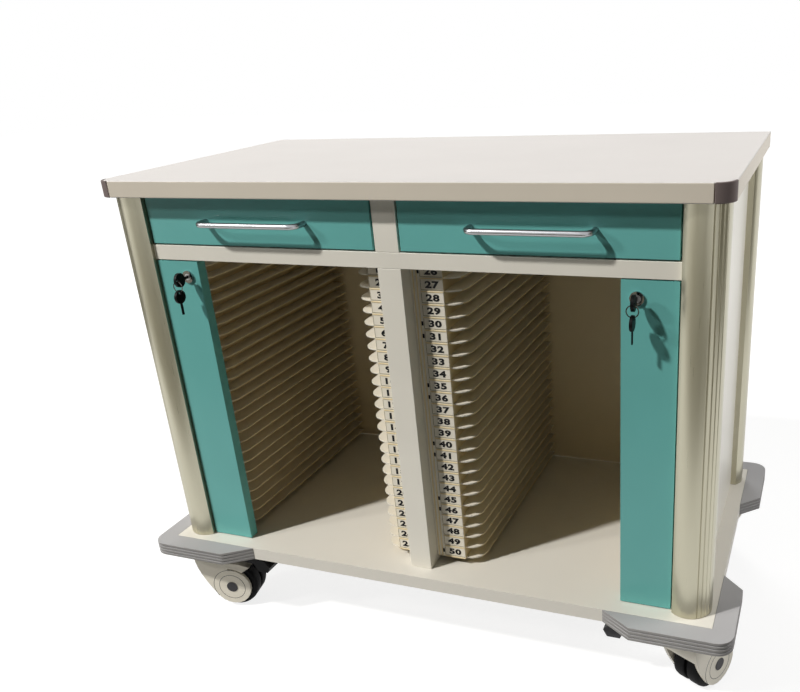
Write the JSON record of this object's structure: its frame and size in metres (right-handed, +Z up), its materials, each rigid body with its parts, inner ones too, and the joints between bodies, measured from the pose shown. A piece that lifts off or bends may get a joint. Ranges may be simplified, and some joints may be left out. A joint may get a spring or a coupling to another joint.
{
  "type": "chart trolley",
  "caption": "Wheeled chart trolley: worktop over drawers, open bays of thin folder slots, hinged keyed lock bars, corner bumpers and swivel casters.",
  "frame": {"origin": "on the floor under the middle of the trolley", "axes": "+X to the right, +Y to the back (the drawers face -Y), +Z up"},
  "size_m": [1.136, 0.639, 0.879],
  "materials": {
    "board": "satin cream laminate on board",
    "cream_sheet": "cream powder coat",
    "corner_cap": "matt grey-brown",
    "post": "satin anodised",
    "bumper": "matt grey",
    "slot_moulding": "satin cream",
    "teal": "satin teal powder coat",
    "slide_steel": "bright zinc",
    "handle_metal": "satin",
    "lock_chrome": "polished",
    "key": "black",
    "caster_steel": "zinc",
    "caster_hood": "cream",
    "caster_tyre": "black",
    "pedal": "black"
  },
  "bodies": {
    "cabinet": {"top_panel": "board", "top_cap_left": "corner_cap", "top_cap_right": "corner_cap", "post_front_left": "post", "post_front_right": "post", "post_rear_left": "post", "post_rear_right": "post", "side_panel_left": "cream_sheet", "side_panel_right": "cream_sheet", "back_panel": "cream_sheet", "base_panel": "board", "bumper_front_left": "bumper", "bumper_front_right": "bumper", "bumper_rear_left": "bumper", "bumper_rear_right": "bumper", "front_rail": "cream_sheet", "drawer_deck": "cream_sheet", "drawer_partition": "cream_sheet", "centre_divider": "cream_sheet", "slot_panel_left_inner": "slot_moulding", "slot_panel_left_outer": "slot_moulding", "slot_panel_right_inner": "slot_moulding", "slot_panel_right_outer": "slot_moulding", "drawer_slide_left_inner": "slide_steel", "drawer_slide_left_outer": "slide_steel", "drawer_slide_right_inner": "slide_steel", "drawer_slide_right_outer": "slide_steel", "caster_plate_front_left": "caster_steel", "caster_plate_front_right": "caster_steel", "caster_plate_rear_left": "caster_steel", "caster_plate_rear_right": "caster_steel"},
    "drawer_left": {"drawer_front_left": "teal", "drawer_tray_left": "cream_sheet", "drawer_handle_left": "handle_metal"},
    "bar_left": {"lock_bar_left": "teal", "lock_barrel_left": "lock_chrome"},
    "lock_left": {"lock_plug_left": "slide_steel", "key_left": "key"},
    "ring_left": {"key_ring_left": "lock_chrome", "spare_key_left": "key"},
    "drawer_right": {"drawer_front_right": "teal", "drawer_tray_right": "cream_sheet", "drawer_handle_right": "handle_metal"},
    "bar_right": {"lock_bar_right": "teal", "lock_barrel_right": "lock_chrome"},
    "lock_right": {"lock_plug_right": "slide_steel", "key_right": "key"},
    "ring_right": {"key_ring_right": "lock_chrome", "spare_key_right": "key"},
    "fork_front_left": {"caster_fork_front_left": "caster_hood"},
    "wheel_front_left": {"caster_wheel_front_left": "caster_tyre"},
    "pedal_front_left": {"brake_pedal_front_left": "pedal"},
    "fork_front_right": {"caster_fork_front_right": "caster_hood"},
    "wheel_front_right": {"caster_wheel_front_right": "caster_tyre"},
    "pedal_front_right": {"brake_pedal_front_right": "pedal"},
    "fork_rear_left": {"caster_fork_rear_left": "caster_hood"},
    "wheel_rear_left": {"caster_wheel_rear_left": "caster_tyre"},
    "fork_rear_right": {"caster_fork_rear_right": "caster_hood"},
    "wheel_rear_right": {"caster_wheel_rear_right": "caster_tyre"}
  },
  "joints": [
    {"name": "drawer_left_slide", "type": "slide", "parent": "cabinet", "child": "drawer_left", "axis": [0, -1, 0], "range_m": [0, 0.34]},
    {"name": "bar_left_hinge", "type": "hinge", "parent": "cabinet", "child": "bar_left", "pos_m": [-0.4527, -0.2485, 0.457], "axis": [0, 0, -1], "range_deg": [0, 90]},
    {"name": "lock_left_turn", "type": "hinge", "parent": "bar_left", "child": "lock_left", "pos_m": [-0.3982, -0.2535, 0.71], "axis": [0, -1, 0], "range_deg": [0, 90]},
    {"name": "ring_left_swing", "type": "hinge", "parent": "lock_left", "child": "ring_left", "pos_m": [-0.3982, -0.2848, 0.71], "axis": [1, 0, 0], "range_deg": [-60, 12]},
    {"name": "drawer_right_slide", "type": "slide", "parent": "cabinet", "child": "drawer_right", "axis": [0, -1, 0], "range_m": [0, 0.34]},
    {"name": "bar_right_hinge", "type": "hinge", "parent": "cabinet", "child": "bar_right", "pos_m": [0.4527, -0.2485, 0.457], "axis": [0, 0, 1], "range_deg": [0, 90]},
    {"name": "lock_right_turn", "type": "hinge", "parent": "bar_right", "child": "lock_right", "pos_m": [0.3982, -0.2535, 0.71], "axis": [0, 1, 0], "range_deg": [0, 90]},
    {"name": "ring_right_swing", "type": "hinge", "parent": "lock_right", "child": "ring_right", "pos_m": [0.3982, -0.2848, 0.71], "axis": [1, 0, 0], "range_deg": [-60, 12]},
    {"name": "swivel_front_left", "type": "hinge", "parent": "cabinet", "child": "fork_front_left", "pos_m": [-0.49, -0.233, 0.13], "axis": [0, 0, 1], "continuous": true},
    {"name": "roll_front_left", "type": "hinge", "parent": "fork_front_left", "child": "wheel_front_left", "pos_m": [-0.45087, -0.22468, 0.05], "axis": [-0.2079, 0.9781, 0], "continuous": true},
    {"name": "pedal_front_left_press", "type": "hinge", "parent": "cabinet", "child": "pedal_front_left", "pos_m": [-0.428, -0.233, 0.1237], "axis": [0, 1, 0], "range_deg": [0, 12]},
    {"name": "swivel_front_right", "type": "hinge", "parent": "cabinet", "child": "fork_front_right", "pos_m": [0.49, -0.233, 0.13], "axis": [0, 0, 1], "continuous": true},
    {"name": "roll_front_right", "type": "hinge", "parent": "fork_front_right", "child": "wheel_front_right", "pos_m": [0.50878, -0.19768, 0.05], "axis": [-0.8829, 0.4695, 0], "continuous": true},
    {"name": "pedal_front_right_press", "type": "hinge", "parent": "cabinet", "child": "pedal_front_right", "pos_m": [0.428, -0.233, 0.1237], "axis": [0, -1, 0], "range_deg": [0, 12]},
    {"name": "swivel_rear_left", "type": "hinge", "parent": "cabinet", "child": "fork_rear_left", "pos_m": [-0.49, 0.233, 0.13], "axis": [0, 0, 1], "continuous": true},
    {"name": "roll_rear_left", "type": "hinge", "parent": "fork_rear_left", "child": "wheel_rear_left", "pos_m": [-0.45536, 0.253, 0.05], "axis": [-0.5, 0.866, 0], "continuous": true},
    {"name": "swivel_rear_right", "type": "hinge", "parent": "cabinet", "child": "fork_rear_right", "pos_m": [0.49, 0.233, 0.13], "axis": [0, 0, 1], "continuous": true},
    {"name": "roll_rear_right", "type": "hinge", "parent": "fork_rear_right", "child": "wheel_rear_right", "pos_m": [0.45536, 0.253, 0.05], "axis": [-0.5, -0.866, 0], "continuous": true}
  ]
}
